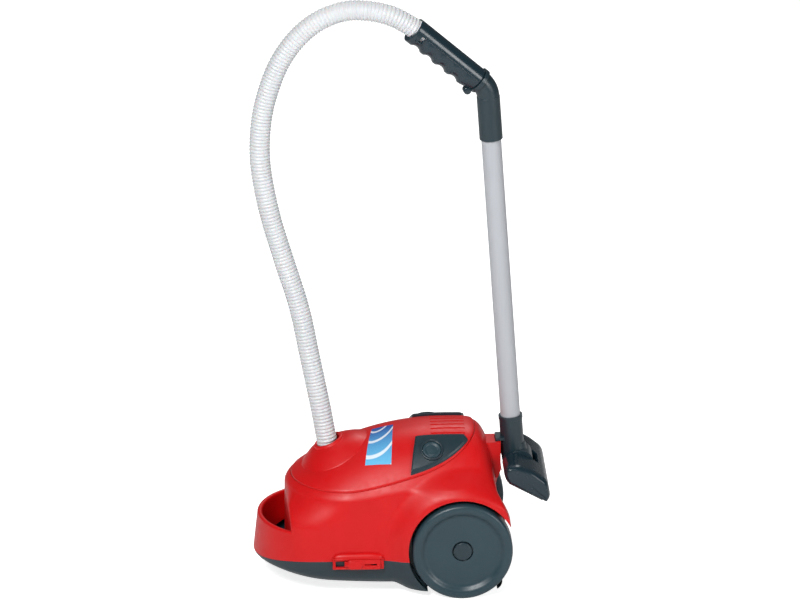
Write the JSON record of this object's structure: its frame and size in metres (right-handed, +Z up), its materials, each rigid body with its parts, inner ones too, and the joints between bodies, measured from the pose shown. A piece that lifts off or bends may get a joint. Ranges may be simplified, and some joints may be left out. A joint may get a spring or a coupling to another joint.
{
  "type": "toy vacuum cleaner",
  "caption": "Toy canister vacuum cleaner: red housing on rear wheels, ribbed hose with a bent handle, tube and floor nozzle parked upright behind.",
  "frame": {"origin": "on the floor under the middle of the part's box without the hose", "axes": "+Z up, +X to the rear, -Y to the toy's left side"},
  "size_m": [0.3147, 0.184, 0.644],
  "materials": {
    "red_plastic": "satin gloss",
    "slate_plastic": "satin",
    "slate_light_plastic": "satin",
    "white_plastic": "satin",
    "grey_plastic": "satin gloss",
    "steel": "drawn",
    "brass": "plated",
    "cell_wrap": "wrapped",
    "black_plastic": "matt"
  },
  "bodies": {
    "chassis": {"lower_tray": "slate_plastic", "upper_shell": "red_plastic", "top_cover": "red_plastic", "hose_collar": "red_plastic", "parking_bracket": "red_plastic", "trim_panel_left": "slate_plastic", "trim_panel_right": "slate_plastic", "button_spring_left": "steel", "button_spring_right": "steel", "push_switch": "black_plastic", "axle_cap_left": "slate_plastic", "axle_cap_right": "slate_plastic", "rear_axle": "steel", "battery_door": "slate_plastic", "battery_door_screw": "steel", "battery_cells": "cell_wrap", "battery_contacts": "brass", "motor": "steel", "motor_mount": "black_plastic", "housing_screws": "steel", "hose": "white_plastic", "hose_lower_cuff": "white_plastic"},
    "wheel_left": {"wheel_left": "slate_light_plastic"},
    "wheel_right": {"wheel_right": "slate_light_plastic"},
    "caster": {"caster_yoke": "slate_plastic", "caster_pin": "steel"},
    "caster_wheel": {"caster_wheel": "slate_light_plastic"},
    "button_left": {"button_left": "slate_light_plastic"},
    "button_right": {"button_right": "slate_light_plastic"},
    "latch_left": {"latch_slider_left": "red_plastic"},
    "latch_right": {"latch_slider_right": "red_plastic"},
    "fan": {"motor_shaft": "steel", "fan_impeller": "white_plastic"},
    "wand": {"grip": "slate_plastic", "handle_elbow": "slate_plastic", "wand_tube": "grey_plastic", "nozzle_elbow": "slate_plastic", "hose_upper_cuff": "white_plastic"},
    "nozzle": {"nozzle_head": "slate_plastic", "nozzle_sole": "slate_light_plastic", "nozzle_pin": "steel"}
  },
  "joints": [
    {"name": "wheel_left_spin", "type": "hinge", "parent": "chassis", "child": "wheel_left", "pos_m": [0.061, -0.081, 0.053], "axis": [0, 1, 0], "continuous": true},
    {"name": "wheel_right_spin", "type": "hinge", "parent": "chassis", "child": "wheel_right", "pos_m": [0.061, 0.081, 0.053], "axis": [0, 1, 0], "continuous": true},
    {"name": "caster_swivel", "type": "hinge", "parent": "chassis", "child": "caster", "pos_m": [-0.097, 0, 0.0172], "axis": [0, 0, 1], "continuous": true},
    {"name": "caster_roll", "type": "hinge", "parent": "caster", "child": "caster_wheel", "pos_m": [-0.091, 0, 0.007], "axis": [0, 1, 0], "continuous": true},
    {"name": "button_left_press", "type": "slide", "parent": "chassis", "child": "button_left", "axis": [0, 0.6486, -0.7611], "range_m": [0, 0.002], "stiffness_N_per_m": 400, "springref_m": -0.001, "deforming": ["button_spring_left"]},
    {"name": "button_right_press", "type": "slide", "parent": "chassis", "child": "button_right", "axis": [0, -0.6486, -0.7611], "range_m": [0, 0.002], "stiffness_N_per_m": 400, "springref_m": -0.001, "deforming": ["button_spring_right"]},
    {"name": "latch_left_slide", "type": "slide", "parent": "chassis", "child": "latch_left", "axis": [-1, 0, 0], "range_m": [0, 0.009]},
    {"name": "latch_right_slide", "type": "slide", "parent": "chassis", "child": "latch_right", "axis": [-1, 0, 0], "range_m": [0, 0.009]},
    {"name": "fan_spin", "type": "hinge", "parent": "chassis", "child": "fan", "pos_m": [0.046, 0, 0.084], "axis": [1, 0, 0], "continuous": true},
    {"name": "wand_lift", "type": "slide", "parent": "chassis", "child": "wand", "axis": [0, 0, 1], "range_m": [0, 0.034], "deforming": ["hose"]},
    {"name": "nozzle_tilt", "type": "hinge", "parent": "wand", "child": "nozzle", "pos_m": [0.12688, 0, 0.12349], "axis": [0, 1, 0], "range_deg": [-35, 15]}
  ]
}
